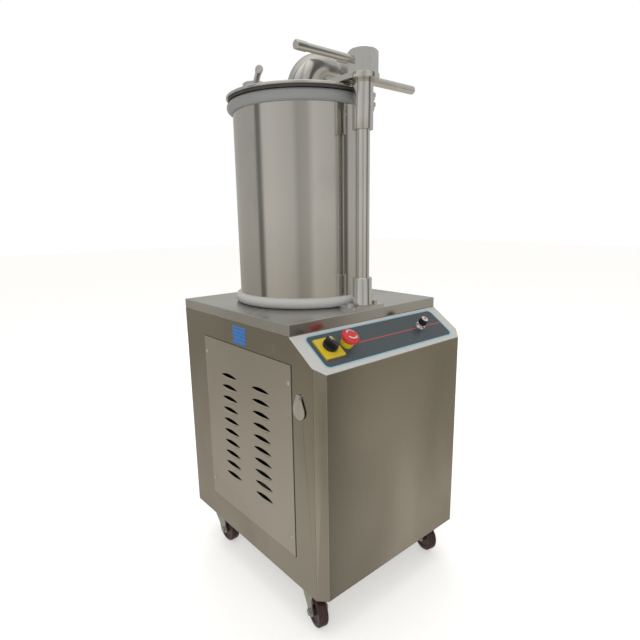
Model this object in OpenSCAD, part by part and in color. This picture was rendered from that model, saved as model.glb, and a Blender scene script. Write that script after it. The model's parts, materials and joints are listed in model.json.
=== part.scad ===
// Hydraulic sausage filler: a wheeled cabinet with a piston barrel, a swinging lid held by two
// clamp columns, and an elbow outlet with a stuffing tube.
// The origin is on the floor under the middle of the whole machine. +Z is up, -Y is the operator's side.

/* [Cabinet] */
// Width of the cabinet and worktop
cabinet_w = 488; // [460:2:520]
// Worktop's front edge, measured forward from the barrel's axis
worktop_front = 247; // [246:1:260]
// Worktop's back edge, measured backward from the barrel's axis
worktop_back = 224; // [223:1:240]
// Height of the worktop above the floor
worktop_h = 713; // [690:1:740]
// Height of the cabinet's bottom edge above the floor
floor_gap = 104; // [104:1:104]
// How far the cabinet's foot stands forward of the worktop's edge
foot_forward = 93; // [85:1:110]
// How far the sloped fascia drops from its back edge to its front edge
fascia_drop = 63.5; // [55:0.5:80]
// Height of the fold round the worktop
fold_h = 25; // [18:1:30]
// Cut-off at the cabinet's two front corners
corner_cut = 20; // [12:1:28]
// Sheet thickness of the cabinet panels
sheet_t = 1.5; // [1:0.1:2]

/* [Side panels] */
// Width of an access panel
access_w = 371; // [340:1:380]
// Height of an access panel
access_h = 452; // [430:1:460]
// Height of an access panel's lower edge above the floor
access_z = 176; // [170:1:185]
// Middle of an access panel, forward from the barrel's axis
access_mid = 65; // [60:1:70]
// Louvres in each column
louvre_count = 10; // [4:1:10]
// Length of one louvre
louvre_w = 76; // [60:1:80]
// Distance between one louvre and the next
louvre_pitch = 30; // [26:1:30]

/* [Barrel] */
// Outside diameter of the barrel
barrel_d = 342; // [320:1:344]
// Wall thickness of the barrel
barrel_wall = 3; // [2:0.5:4]
// Height of the barrel's rim above the floor
barrel_top = 1206; // [1200:1:1212]
// How far the two collars stand out of the barrel
collar_proud = 14; // [8:1:14]
// Height of the two collars
collar_h = 26; // [18:1:28]

/* [Piston] */
// Travel of the piston
piston_stroke = 420; // [300:10:420]
// Thickness of the piston
piston_t = 55; // [40:1:60]
// Diameter of the ram's rod
ram_d = 45; // [40:1:50]
// Inside diameter of the hydraulic cylinder
cylinder_bore = 75; // [70:1:80]

/* [Columns and lid] */
// Diameter of the column rods
column_d = 32; // [30:1:32]
// Distance from the barrel's axis to the front column
front_column = 218; // [217:1:222]
// Distance from the barrel's axis to the rear column
rear_column = 204; // [204:0.5:206]
// Diameter of the lid
lid_d = 372; // [360:1:372]
// Thickness of the lid
lid_t = 7; // [5:1:8]
// Height of the rubber seal between the barrel's rim and the lid
seal_h = 5.7; // [4:0.1:7]
// Width of the yoke bar
yoke_w = 72; // [66:1:76]
// Thickness of the yoke bar
yoke_t = 12; // [10:1:15]
// Length of the sleeve that swings on the front column
sleeve_l = 102; // [80:1:120]
// Width across the flats of the clamp nuts
nut_af = 58; // [50:1:60]
// Reach of a clamp bar from its column's axis
bar_reach = 187; // [160:1:187]
// Diameter of the clamp bars
bar_d = 16; // [14:1:18]
// Direction in which the rear clamp bar points at rest, in degrees from +X
rear_bar_angle = 240; // [230:1:244]

/* [Outlet] */
// Outside diameter of the outlet elbow
elbow_d = 72; // [60:1:72]
// Radius of the elbow's bend, along its centre line
elbow_bend = 69; // [60:1:75]
// Outside diameter of the stuffing tube
tube_d = 24; // [20:1:30]
// Distance from the barrel's axis to the stuffing tube's tip
tube_tip = 436; // [360:1:460]

/* [Controls] */
// Side of the isolator's square plate
isolator_side = 55; // [45:1:60]
// Diameter of the stop button's head
stop_head_d = 40; // [30:1:40]
// Place of the isolator along the fascia
isolator_x = -173; // [-185:1:-165]
// Place of the stop button along the fascia
stop_x = -123; // [-128:1:-118]
// Place of the regulator knob along the fascia
regulator_x = 132; // [120:1:150]

/* [Casters] */
// Diameter of the wheels
wheel_d = 75; // [75:1:75]
// Width of the wheels
wheel_w = 24; // [20:1:25]
// Distance of each kingpin from the machine's middle plane
caster_x = 201; // [190:1:203]
// Distance from a kingpin to its wheel's axle
caster_trail = 32; // [28:1:34]
// Front kingpins, forward of the barrel's axis
caster_front = 250; // [240:1:255]
// Rear kingpins, backward of the barrel's axis
caster_rear = 160; // [150:1:165]

/* [Hidden] */
$fn = 96;
fit = 0.05;
gap = 0.3;
cut = 1;
half_w = cabinet_w / 2;
foot_front = worktop_front + foot_forward;
fold_z = worktop_h - fold_h;
fascia_t = 2;
fascia_tilt = atan2(fascia_drop, foot_forward);
fascia_l = norm([fascia_drop, foot_forward]);
fascia_mid = fascia_l * 0.46;
overlay_t = 0.6;
stop_neck_r = 14.5;
bezel_r = 13.5;
top_plate_t = 2;
bend_tan = tan(22.5);
access_t = 1.5;
access_lip = 10;
louvre_proud = 4.5;
louvre_wall = 1.2;
louvre_slit = 6.5;
hood_r = 11;
outlet_gland_l = 26;
cover_gap = 1.9;
cover_t = 2;
mid_x = (tube_tip - half_w - access_t - louvre_proud) / 2;
mid_y = (worktop_back + outlet_gland_l - foot_front) / 2;

barrel_r = barrel_d / 2;
barrel_ri = barrel_r - barrel_wall;
barrel_floor_t = 6;
seal_in = barrel_r + 1;
seal_out = barrel_r + 10;
lid_z = barrel_top + gap + seal_h;
yoke_z = lid_z + lid_t;
yoke_top = yoke_z + yoke_t;
outlet_r = 30;
piston_z = worktop_h + barrel_floor_t + 1;
piston_r = barrel_ri - 1.5;
gland_h = 20;
gland_z = worktop_h - top_plate_t - gland_h;
cylinder_r = cylinder_bore / 2 + 7.5;
cylinder_z = 213;
cylinder_cap_t = 12;
ram_head_h = 26;
ram_z = cylinder_z + cylinder_cap_t + 3;

column_r = column_d / 2;
flange_t = 8;
socket_r = 22.5;
socket_top = worktop_h + 74;
rear_socket_r = column_r + 2;
front_nut_h = 47.7;
rear_nut_h = 40;
pad_t = 24;
front_bar_z = yoke_top + 25;
rear_nut_z = yoke_top + pad_t + gap;
rear_bar_z = rear_nut_z + 28;
front_nut_turn = 14;
front_left_turn = -15;
front_right_turn = -15;
nut_r = nut_af / 2 / cos(30);
bar_knob_l = 26;
bar_knob_d = bar_d + 2.5;

elbow_r = elbow_d / 2;
elbow_wall = 2;
outlet_z = yoke_top + elbow_bend;
elbow_end = 98;
spigot_r = 28;
spigot_end = 150;
union_x = 126;
union_l = 34;
union_r = 42;
tube_r = tube_d / 2;
tube_neck_r = 20;
tube_wall = 1.5;
tube_flange_t = 3.4;

plate_t = 6;
plate_z = floor_gap - plate_t;
wheel_r = wheel_d / 2;
fork_in = wheel_w / 2 + 3;
cheek_t = 3;
race_t = 7;
axle_r = 5;
kingpin_r = 6;
tank_x = 70;
tank_y = -120;
tank_w = 155;
tank_d = 310;
tank_h = 223;
pan_t = 3;
pan_top = floor_gap + pan_t;
motor_x = -150;
motor_r = 68;
motor_z = 190;
pump_y = -110;
screw_inset = 9;

steel = "#a8a49c";
bright = "#c9c9c6";
white = "#e4e4e0";

// ---- helpers ----

// Moves a piece from the barrel's axis to the machine's own origin
module place() {
    translate([-mid_x, -mid_y, 0]) children();
}

// Local frame of the fascia: X along it, -Y down the slope, +Z out of its face
module on_fascia(x, down) {
    translate([x, -worktop_front, fold_z]) rotate([fascia_tilt, 0, 0]) translate([0, -down, 0]) children();
}

module ring(outer, inner, height) {
    difference() {
        cylinder(r = outer, h = height);
        translate([0, 0, -cut]) cylinder(r = inner, h = height + 2 * cut);
    }
}

// A box given by its low corner and its high corner
module block(low, high) {
    translate(low) cube(high - low);
}

module rounded_rect(w, d, r) {
    square([w - 2 * r, d], center = true);
    square([w, d - 2 * r], center = true);
    for (x = [-1, 1], y = [-1, 1]) translate([x * (w / 2 - r), y * (d / 2 - r)]) circle(r = r);
}

// Everything above the underside of the fascia plate
module above_fascia() {
    on_fascia(0, 0) translate([-half_w * 2, -fascia_l * 2, -fascia_t]) cube([half_w * 4, fascia_l * 3, 300]);
}

// Outline of the cabinet's foot, seen from above, drawn in by a margin
module foot_outline(margin) {
    w = half_w - margin;
    f = foot_front - margin;
    c = corner_cut - margin * (1 - bend_tan);
    polygon([[-w, worktop_back - margin], [-w, c - f], [c - w, -f],
        [w - c, -f], [w, c - f], [w, worktop_back - margin]]);
}

// ---- cabinet ----

module floor_pan() {
    color(steel) place() translate([0, 0, floor_gap]) difference() {
        linear_extrude(pan_t) foot_outline(sheet_t + 0.5);
        translate([-215, 25, -cut]) cylinder(r = 8, h = pan_t + 2 * cut);
    }
}

module front_panel() {
    t = sheet_t;
    side_y = corner_cut - foot_front;
    color(steel) place() difference() {
        translate([0, 0, floor_gap]) linear_extrude(fold_z - floor_gap) polygon([
            [-half_w, side_y], [corner_cut - half_w, -foot_front],
            [half_w - corner_cut, -foot_front], [half_w, side_y],
            [half_w - t * sqrt(2), side_y], [half_w - corner_cut - t * bend_tan, t - foot_front],
            [corner_cut + t * bend_tan - half_w, t - foot_front], [t * sqrt(2) - half_w, side_y]]);
        above_fascia();
    }
}

// One side of the cabinet with the window that its access panel covers
module side_panel() {
    difference() {
        block([-half_w, corner_cut - foot_front, floor_gap], [sheet_t - half_w, worktop_back, fold_z]);
        block([-half_w - cut, access_lip - access_w / 2 - access_mid, access_z + access_lip],
            [sheet_t - half_w + cut, access_w / 2 - access_lip - access_mid, access_z + access_h - access_lip]);
        above_fascia_sides();
    }
}

module above_fascia_sides() {
    intersection() {
        above_fascia();
        block([-2 * half_w, -2 * foot_front, 0], [2 * half_w, -worktop_front, 2 * worktop_h]);
    }
}

module left_side_panel() {
    color(steel) place() difference() {
        side_panel();
        lock_pivot() translate([0, 0, -10]) cylinder(r = 4, h = 20);
    }
}

module right_side_panel() {
    color(steel) place() mirror([1, 0, 0]) side_panel();
}

module rear_cover() {
    color(steel) place() difference() {
        block([sheet_t - half_w, worktop_back - sheet_t, floor_gap + pan_t], [half_w - sheet_t, worktop_back, fold_z]);
        translate([150, worktop_back, 190]) rotate([90, 0, 0]) cylinder(r = 10.05, h = 20, center = true);
    }
}

module worktop() {
    color(bright) place() difference() {
        block([-half_w, -worktop_front, fold_z], [half_w, worktop_back, worktop_h]);
        block([top_plate_t - half_w, top_plate_t - worktop_front, fold_z - cut],
            [half_w - top_plate_t, worktop_back - top_plate_t, worktop_h - top_plate_t]);
        translate([0, 0, fold_z]) cylinder(r = ram_d / 2 + 1.5, h = fold_h + cut);
    }
}

module control_fascia() {
    side_l = (foot_forward - corner_cut) / cos(fascia_tilt);
    color(white) place() on_fascia(0, 0) difference() {
        translate([0, 0, -fascia_t]) linear_extrude(fascia_t) polygon([
            [-half_w, 0], [half_w, 0], [half_w, -side_l], [half_w - corner_cut, -fascia_l],
            [corner_cut - half_w, -fascia_l], [-half_w, -side_l]]);
        for (x = [isolator_x, stop_x, regulator_x]) translate([x, -fascia_mid, -10]) cylinder(r = 11.15, h = 20);
    }
}

module fascia_overlay() {
    color("#4c5a62") place() on_fascia(0, fascia_l * 0.485) difference() {
        linear_extrude(overlay_t) rounded_rect(cabinet_w - 66, fascia_l - 26, 12);
        for (control = [[stop_x, stop_neck_r], [regulator_x, bezel_r]])
            translate([control[0], fascia_l * 0.485 - fascia_mid, -cut]) cylinder(r = control[1] + gap, h = 3);
        translate([isolator_x, fascia_l * 0.485 - fascia_mid, 0])
            cube([isolator_side + 1, isolator_side + 1, 4], center = true);
    }
}

// ---- access panels ----

// Radius of a round arc that is 2 * half long and rises by rise in its middle
function arc_r(half, rise) = (half * half + rise * rise) / (2 * rise);

// A spindle along Y, r thick in its middle, whose axis lies behind the panel's outer face
module spindle(r) {
    half = louvre_w / 2;
    bend = arc_r(half, louvre_proud);
    translate([hood_r - louvre_proud - access_t, 0, 0]) rotate([-90, 0, 0]) rotate_extrude() polygon(concat(
        [[0, -half]],
        [for (i = [-4 : 4]) [sqrt(bend * bend - pow(half * i / 4, 2)) - bend + r, half * i / 4]],
        [[0, half]]));
}

// The lower, outer quarter of a spindle, from inner_x outwards
module lower_spindle(r, inner_x) {
    intersection() {
        spindle(r);
        block([-access_t - 20, -louvre_w, -hood_r - 1], [inner_x, louvre_w, 0]);
    }
}

// The pressed hood under a louvre's mouth
module louvre_hood() {
    lower_spindle(hood_r, 0.5 - access_t);
}

// The hollow of the hood, and the lens-shaped mouth above it
module louvre_opening() {
    half = louvre_w / 2 - 2;
    bend = arc_r(half, louvre_slit);
    lower_spindle(hood_r - louvre_wall, cut);
    intersection() {
        translate([0, 0, louvre_slit - bend]) rotate([0, 90, 0]) cylinder(r = bend, h = 12, center = true);
        block([-6, -louvre_w, 0], [6, louvre_w, louvre_slit + 1]);
    }
}

module at_louvres() {
    first_z = access_h / 2 - louvre_pitch * (louvre_count - 1) / 2 + 8 - louvre_slit / 2;
    for (y = [-68, 69], i = [0 : louvre_count - 1]) translate([0, y, first_z + i * louvre_pitch]) children();
}

// A plain access panel whose inner face lies on X = 0
module access_plate() {
    block([-access_t, -access_w / 2, 0], [0, access_w / 2, access_h]);
}

module access_screw_holes() {
    for (y = [-1, 1], z = [46, access_h - 41])
        translate([0, y * (access_w / 2 - screw_inset), z]) rotate([0, 90, 0]) cylinder(r = 2.5, h = 20, center = true);
}

module left_access_panel() {
    color("#b4b0a6") place() translate([-half_w, -access_mid, access_z]) difference() {
        union() {
            access_plate();
            at_louvres() louvre_hood();
        }
        access_screw_holes();
        at_louvres() louvre_opening();
    }
}

module right_access_panel() {
    color("#b4b0a6") place() mirror([1, 0, 0]) translate([-half_w, -access_mid, access_z]) difference() {
        access_plate();
        access_screw_holes();
    }
}

// Frame of the keyhole cover's rivet: +Z points out of the left side
module lock_pivot() {
    translate([-half_w, -277, 564]) rotate([0, -90, 0]) children();
}

module lock_cover() {
    plate_w = 38;
    color(bright) place() lock_pivot() translate([0, 0, cover_gap]) difference() {
        linear_extrude(cover_t) union() {
            circle(r = 8);
            translate([-28, 0]) circle(r = plate_w / 2);
            polygon([[2, -7.7], [2, 7.7], [-20, 17.2], [-20, -17.2]]);
        }
        translate([0, 0, -cut]) cylinder(r = 4 + fit, h = 5);
    }
}

module panel_screws() {
    color(bright) place() {
        for (side = [0, 1]) mirror([side, 0, 0]) for (y = [-1, 1], z = [46, access_h - 41])
            translate([-half_w - access_t, y * (access_w / 2 - screw_inset) - access_mid, access_z + z])
                rotate([0, -90, 0]) screw();
        for (x = [-1, 1], z = [150, 400, 650])
            translate([x * (half_w - 14), worktop_back, z]) rotate([-90, 0, 0]) button_head();
        lock_pivot() lock_rivet();
    }
}

module screw() {
    button_head();
    translate([0, 0, -access_t]) cylinder(r = 2.45, h = access_t + 0.5, $fn = 32);
}

module button_head() {
    intersection() {
        cylinder(r = 5, h = 3, $fn = 48);
        translate([0, 0, -4]) sphere(r = 7, $fn = 48);
    }
}

module lock_rivet() {
    translate([0, 0, -sheet_t]) cylinder(r = 3.95, h = sheet_t + 0.2);
    cylinder(r = 7, h = cover_gap - gap);
    cylinder(r = 4, h = cover_gap + cover_t + gap);
    translate([0, 0, cover_gap + cover_t + gap]) cylinder(r = 5.5, h = 1.5);
}

module mains_gland() {
    color("#202022") place() translate([150, worktop_back, 190]) rotate([-90, 0, 0]) difference() {
        union() {
            translate([0, 0, -14]) cylinder(r = 10, h = 15);
            translate([0, 0, -7.5]) cylinder(r = 14, h = 5, $fn = 6);
            cylinder(r = 14, h = 8, $fn = 6);
            translate([0, 0, 8]) cylinder(r = 11, h = 12);
            translate([0, 0, 20]) cylinder(r1 = 11, r2 = 8, h = outlet_gland_l - 20);
        }
        translate([0, 0, -15]) cylinder(r = 5, h = 60);
    }
}

module oil_drain_plug() {
    color(bright) place() translate([-215, 25, 0]) {
        translate([0, 0, floor_gap - 8]) cylinder(r = 11, h = 8, $fn = 6);
        translate([0, 0, floor_gap - 0.5]) cylinder(r = 7.9, h = 8);
    }
}

// ---- casters ----

module at_caster(side, front) {
    translate([side * caster_x, front ? -caster_front : caster_rear, 0]) children();
}

module caster_plates() {
    color("#b8bcb4") place() for (side = [-1, 1], front = [false, true]) at_caster(side, front) {
        difference() {
            translate([0, 0, plate_z]) linear_extrude(plate_t) rounded_rect(64, 95, 6);
            for (x = [-1, 1], y = [-1, 1]) translate([x * 22, y * 37, 0]) cylinder(r = 4.2, h = 200);
        }
        translate([0, 0, plate_z - race_t - 4]) cylinder(r = kingpin_r, h = race_t + 5);
        translate([0, 0, plate_z - race_t - gap - 5]) cylinder(r = 9.5, h = 4.6 - gap, $fn = 6);
    }
}

module cheek_outline() {
    polygon([[-30, 0], [24, 0], [26, -10], [caster_trail * -1 + 11, wheel_r - plate_z + race_t - 4],
        [caster_trail * -1 - 11, wheel_r - plate_z + race_t - 4], [-36, -18]]);
    translate([-caster_trail, wheel_r - plate_z + race_t]) circle(r = 12);
}

module fork() {
    color("#b8bcb4") {
        difference() {
            union() {
                translate([0, 0, plate_z - race_t - gap]) cylinder(r = 28, h = race_t);
                for (side = [-1, 1]) translate([side * (fork_in + cheek_t / 2) - cheek_t / 2, 0, plate_z - race_t])
                    rotate([90, 0, 90]) linear_extrude(cheek_t) cheek_outline();
            }
            translate([0, 0, plate_z - 30]) cylinder(r = kingpin_r + fit, h = 60);
            translate([0, -caster_trail, wheel_r]) rotate([0, 90, 0])
                cylinder(r = axle_r + fit, h = 100, center = true);
            translate([0, 0, plate_z - race_t - gap - 8]) cylinder(r = 10.5, h = 8);
        }
        translate([0, -caster_trail, wheel_r]) rotate([0, 90, 0]) {
            cylinder(r = axle_r, h = 2 * (fork_in + cheek_t) + 0.2, center = true);
            for (side = [-1, 1]) translate([0, 0, side * (fork_in + cheek_t + 3.1)])
                cylinder(r = 8, h = 6, center = true, $fn = 6);
        }
    }
}

module wheel() {
    tread = wheel_w / 2;
    color("#3a2226") translate([0, -caster_trail, wheel_r]) rotate([0, 90, 0]) rotate_extrude() polygon([
        [axle_r + fit, -tread - 2], [11, -tread - 2], [11, -tread + 3], [25, -tread + 3], [28, -tread],
        [wheel_r - 3, -tread], [wheel_r, 3 - tread], [wheel_r, tread - 3], [wheel_r - 3, tread],
        [28, tread], [25, tread - 3], [11, tread - 3], [11, tread + 2], [axle_r + fit, tread + 2]]);
}

// ---- barrel and piston ----

module barrel() {
    color(bright) place() translate([0, 0, worktop_h]) difference() {
        cylinder(r = barrel_r, h = barrel_top - worktop_h, $fn = 160);
        translate([0, 0, barrel_floor_t]) cylinder(r = barrel_ri, h = barrel_top, $fn = 160);
        translate([0, 0, -cut]) cylinder(r = ram_d / 2 + 1.5, h = 20);
    }
}

// A rounded band round the barrel: flat against the barrel and round outside
module collar() {
    rotate_extrude($fn = 160) intersection() {
        translate([barrel_r + collar_proud - collar_h / 2, collar_h / 2]) circle(r = collar_h / 2, $fn = 64);
        translate([barrel_r, 0]) square([collar_proud + cut, collar_h]);
    }
}

module base_collar() {
    color(white) place() translate([0, 0, worktop_h]) collar();
}

module top_collar() {
    color(white) place() translate([0, 0, barrel_top - collar_h]) collar();
}

module piston() {
    groove = 14;
    color(bright) place() translate([0, 0, piston_z]) rotate_extrude() polygon([
        [0, 0], [ram_d, 0], [ram_d, piston_t - 10], [piston_r - 16, piston_t - 10], [piston_r - 16, 0],
        [piston_r - 4, 0], [piston_r, 4], [piston_r, piston_t / 2 - groove / 2],
        [piston_r - 8, piston_t / 2 - groove / 2], [piston_r - 8, piston_t / 2 + groove / 2],
        [piston_r, piston_t / 2 + groove / 2], [piston_r, piston_t - 3], [piston_r - 3, piston_t],
        [0, piston_t]]);
}

module piston_seal() {
    color("#2a2a2c") place() translate([0, 0, piston_z + piston_t / 2 - 7]) ring(barrel_ri - gap, piston_r - 8, 14);
}

module ram_rod() {
    color(bright) place() {
        translate([0, 0, ram_z]) cylinder(r = ram_d / 2, h = piston_z - ram_z);
        translate([0, 0, ram_z]) cylinder(r = cylinder_bore / 2 - gap, h = ram_head_h);
    }
}

module hydraulic_cylinder() {
    color("#53585c") place() translate([0, 0, cylinder_z]) difference() {
        cylinder(r = cylinder_r, h = gland_z - cylinder_z);
        translate([0, 0, cylinder_cap_t]) cylinder(r = cylinder_bore / 2, h = gland_z);
        translate([0, 0, 28]) rotate([90, 0, 0]) cylinder(r = 4, h = 100);
    }
}

module cylinder_gland() {
    color(bright) place() translate([0, 0, gland_z]) ring(cylinder_r + 15, ram_d / 2 + fit, gland_h);
}

// ---- columns ----

module column_flange(w, d) {
    difference() {
        translate([0, 0, worktop_h]) linear_extrude(flange_t) rounded_rect(w, d, 3);
        for (x = [-1, 1]) translate([x * 40, 0, worktop_h - cut]) cylinder(r = 5.2, h = flange_t + 2 * cut);
    }
}

module column_socket(r) {
    translate([0, 0, worktop_h + flange_t]) difference() {
        union() {
            cylinder(r = r, h = socket_top - worktop_h - flange_t - 2);
            translate([0, 0, socket_top - worktop_h - flange_t - 2]) cylinder(r1 = r, r2 = r - 1.5, h = 2);
        }
        translate([0, 0, cut]) cylinder(r = column_r + fit, h = 200);
    }
}

module front_column_base() {
    color(bright) place() translate([0, -front_column, 0]) {
        column_flange(104, 50);
        column_socket(socket_r);
    }
}

module rear_column_base() {
    color(bright) place() translate([0, rear_column, 0]) {
        column_flange(104, 34);
        column_socket(rear_socket_r);
    }
}

module front_column_rod() {
    base = worktop_h + flange_t + cut;
    color(bright) place() translate([0, -front_column, base]) cylinder(r = column_r, h = yoke_top + 35 - base);
}

module rear_column_rod() {
    base = worktop_h + flange_t + cut;
    color(bright) place() translate([0, rear_column, base]) cylinder(r = column_r, h = rear_nut_z + 18 - base);
}

module column_bolts() {
    color(bright) place() for (y = [-front_column, rear_column], x = [-40, 40]) translate([x, y, 0]) {
        translate([0, 0, worktop_h]) cylinder(r = 5, h = flange_t + cut);
        translate([0, 0, worktop_h + flange_t]) cylinder(r = 8.6, h = 6.4, $fn = 6);
    }
}

// ---- lid, swinging on the front column ----

module lid() {
    rim_r = lid_d / 2;
    color(bright) place() translate([0, 0, lid_z]) rotate_extrude($fn = 160) polygon([
        [outlet_r, 0], [rim_r - 1.5, 0], [rim_r, 1.5], [rim_r, lid_t - 2], [rim_r - 2, lid_t],
        [outlet_r, lid_t]]);
}

module lid_seal() {
    color("#2a2a2c") place() translate([0, 0, lid_z - seal_h]) ring(seal_out, seal_in - 2, seal_h);
}

// Outline of the yoke bar; the rear end is open to the left so that it can leave its column
module yoke_outline() {
    difference() {
        union() {
            translate([-yoke_w / 2, -front_column]) square([yoke_w, front_column + rear_column]);
            translate([0, -front_column]) circle(r = yoke_w / 2);
            translate([0, rear_column]) circle(r = yoke_w / 2);
        }
        circle(r = outlet_r);
        translate([0, -front_column]) circle(r = column_r + gap);
        rear_slot();
    }
}

module rear_slot() {
    slot_r = column_r + 2;
    translate([0, rear_column - 0.8]) circle(r = slot_r);
    translate([-yoke_w, rear_column - 0.8 - slot_r]) square([yoke_w, 2 * slot_r]);
}

module lid_yoke() {
    color(bright) place() {
        translate([0, 0, yoke_z]) linear_extrude(yoke_t) yoke_outline();
        translate([0, 0, yoke_top]) linear_extrude(pad_t) difference() {
            intersection() {
                union() {
                    translate([0, rear_column]) circle(r = yoke_w / 2);
                    translate([-yoke_w / 2, rear_column - 30]) square([yoke_w, 30]);
                }
                translate([-yoke_w / 2, rear_column - 30]) square([yoke_w, 30 + yoke_w]);
            }
            rear_slot();
        }
    }
}

module pivot_sleeve() {
    color(bright) place() translate([0, -front_column, yoke_z - sleeve_l]) difference() {
        ring(socket_r + 0.5, column_r + fit, sleeve_l);
        for (z = [sleeve_l - 26, sleeve_l - 46]) translate([0, 0, z]) rotate([0, 90, 0]) cylinder(r = 4, h = 60);
    }
}

module sleeve_bolts() {
    color(bright) place() for (z = [26, 46]) translate([0, -front_column, yoke_z - z]) rotate([0, 90, 0]) {
        translate([0, 0, column_r + 0.5]) cylinder(r = 3.95, h = 10);
        translate([0, 0, socket_r + 0.5]) cylinder(r = 7.5, h = 11, $fn = 6);
    }
}

module outlet_elbow() {
    color(bright) place() {
        translate([elbow_bend, 0, yoke_top]) rotate([90, 0, 0]) rotate([0, 0, 90]) rotate_extrude(angle = 90)
            translate([elbow_bend, 0]) difference() {
                circle(r = elbow_r);
                circle(r = elbow_r - elbow_wall);
            }
        translate([elbow_bend, 0, outlet_z]) rotate([0, 90, 0]) rotate_extrude() polygon([
            [elbow_r - elbow_wall, 0], [elbow_r, 0], [elbow_r, elbow_end - elbow_bend - 4],
            [elbow_r - 4, elbow_end - elbow_bend], [spigot_r, elbow_end - elbow_bend],
            [spigot_r, spigot_end - elbow_bend], [spigot_r - 4, spigot_end - elbow_bend],
            [spigot_r - 4, elbow_end - elbow_bend - 8], [elbow_r - elbow_wall, elbow_end - elbow_bend - 12]]);
    }
}

// Round union nut with grip flats; it holds the stuffing tube's flange against the spigot
module union_nut() {
    color(bright) place() translate([union_x, 0, outlet_z]) rotate([0, 90, 0]) difference() {
        union() {
            cylinder(r = union_r, h = 8);
            translate([0, 0, 8]) cylinder(r = union_r - 4, h = union_l - 8);
        }
        translate([0, 0, -cut]) cylinder(r = spigot_r + fit, h = union_l - 6 + cut);
        cylinder(r = tube_neck_r + gap, h = union_l + cut);
        for (a = [0 : 45 : 315]) rotate([0, 0, a]) translate([union_r - 2, 0, 12]) cylinder(r = 5, h = union_l);
    }
}

module stuffing_tube() {
    color(bright) place() translate([0, 0, outlet_z]) rotate([0, 90, 0]) difference() {
        union() {
            translate([0, 0, spigot_end]) cylinder(r = spigot_r - 2, h = tube_flange_t);
            translate([0, 0, spigot_end]) cylinder(r = tube_neck_r, h = union_x + union_l + 0.5 - spigot_end);
            translate([0, 0, spigot_end]) cylinder(r = tube_r, h = tube_tip - spigot_end);
        }
        cylinder(r = tube_r - tube_wall, h = tube_tip + cut);
    }
}

// ---- clamp nuts ----

// Hexagonal cap nut with chamfered corners; the clamp bar enters it along +X at bar_at
module clamp_nut(height, depth, bar_at, turn) {
    difference() {
        intersection() {
            rotate([0, 0, turn]) cylinder(r = nut_r, h = height, $fn = 6);
            union() {
                cylinder(r = nut_r + 1, h = height - 3);
                translate([0, 0, height - 3]) cylinder(r1 = nut_r, r2 = nut_r - 4, h = 3);
            }
        }
        translate([0, 0, -cut]) cylinder(r = column_r + fit, h = depth + cut);
        translate([column_r + 4, 0, bar_at]) rotate([0, 90, 0]) cylinder(r = bar_d / 2, h = nut_r);
    }
}

module clamp_bar() {
    start = column_r + 4;
    rotate([0, 90, 0]) {
        translate([0, 0, start]) cylinder(r = bar_d / 2, h = bar_reach - bar_knob_l - start);
        translate([0, 0, bar_reach - bar_knob_l]) cylinder(r = bar_knob_d / 2, h = bar_knob_l - 1.5);
        translate([0, 0, bar_reach - 1.5]) cylinder(r1 = bar_knob_d / 2, r2 = bar_knob_d / 2 - 1.5, h = 1.5);
    }
}

module at_front_clamp(z) {
    translate([0, -front_column, z]) rotate([0, 0, 180]) children();
}

module at_rear_clamp(z) {
    translate([0, rear_column, z]) rotate([0, 0, rear_bar_angle]) children();
}

module front_clamp_nut() {
    color(steel) place() at_front_clamp(yoke_top + gap)
        clamp_nut(front_nut_h, 36, front_bar_z - yoke_top - gap, front_nut_turn);
}

module front_clamp_bar() {
    color(bright) place() at_front_clamp(front_bar_z) clamp_bar();
}

module rear_clamp_nut() {
    color(steel) place() at_rear_clamp(rear_nut_z) clamp_nut(rear_nut_h, 19, rear_bar_z - rear_nut_z, 30);
}

module rear_clamp_bar() {
    color(bright) place() at_rear_clamp(rear_bar_z) clamp_bar();
}

// ---- controls on the fascia ----

module isolator_base() {
    color("#e0c020") place() on_fascia(isolator_x, fascia_mid) difference() {
        union() {
            linear_extrude(4) rounded_rect(isolator_side, isolator_side, 3);
            translate([0, 0, 4]) cylinder(r = 20, h = 3);
            translate([0, 0, -fascia_t - 30]) cylinder(r = 11, h = fascia_t + 31);
        }
        translate([0, 0, -20]) cylinder(r = 4 + fit, h = 60);
    }
}

module isolator_knob() {
    color("#18181a") place() on_fascia(isolator_x, fascia_mid) {
        translate([0, 0, -18]) cylinder(r = 4, h = 28);
        translate([0, 0, 7 + gap]) cylinder(r = 17, h = 6);
        rotate([0, 0, 20]) translate([0, 0, 10]) linear_extrude(14) rounded_rect(10, 32, 4);
    }
}

module stop_collar() {
    color("#e0c020") place() on_fascia(stop_x, fascia_mid) difference() {
        union() {
            cylinder(r = stop_neck_r, h = 13);
            translate([0, 0, -fascia_t - 30]) cylinder(r = 11, h = fascia_t + 31);
        }
        translate([0, 0, -24]) cylinder(r = 7 + fit, h = 60);
    }
}

module stop_button() {
    r = stop_head_d / 2;
    color("#c02024") place() on_fascia(stop_x, fascia_mid) rotate_extrude() polygon(concat(
        [[0, -18], [7, -18], [7, 18], [r - 2, 18], [r, 20], [r, 26]],
        [for (a = [10 : 10 : 90]) [r * cos(a), 26 + 7 * sin(a)]]));
}

module knob_bezel() {
    color(bright) place() on_fascia(regulator_x, fascia_mid) difference() {
        union() {
            cylinder(r1 = bezel_r, r2 = bezel_r - 2, h = 5);
            cylinder(r = 8, h = 9);
            translate([0, 0, -fascia_t - 28]) cylinder(r = 11, h = fascia_t + 29);
        }
        translate([0, 0, -20]) cylinder(r = 3 + fit, h = 60);
    }
}

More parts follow.
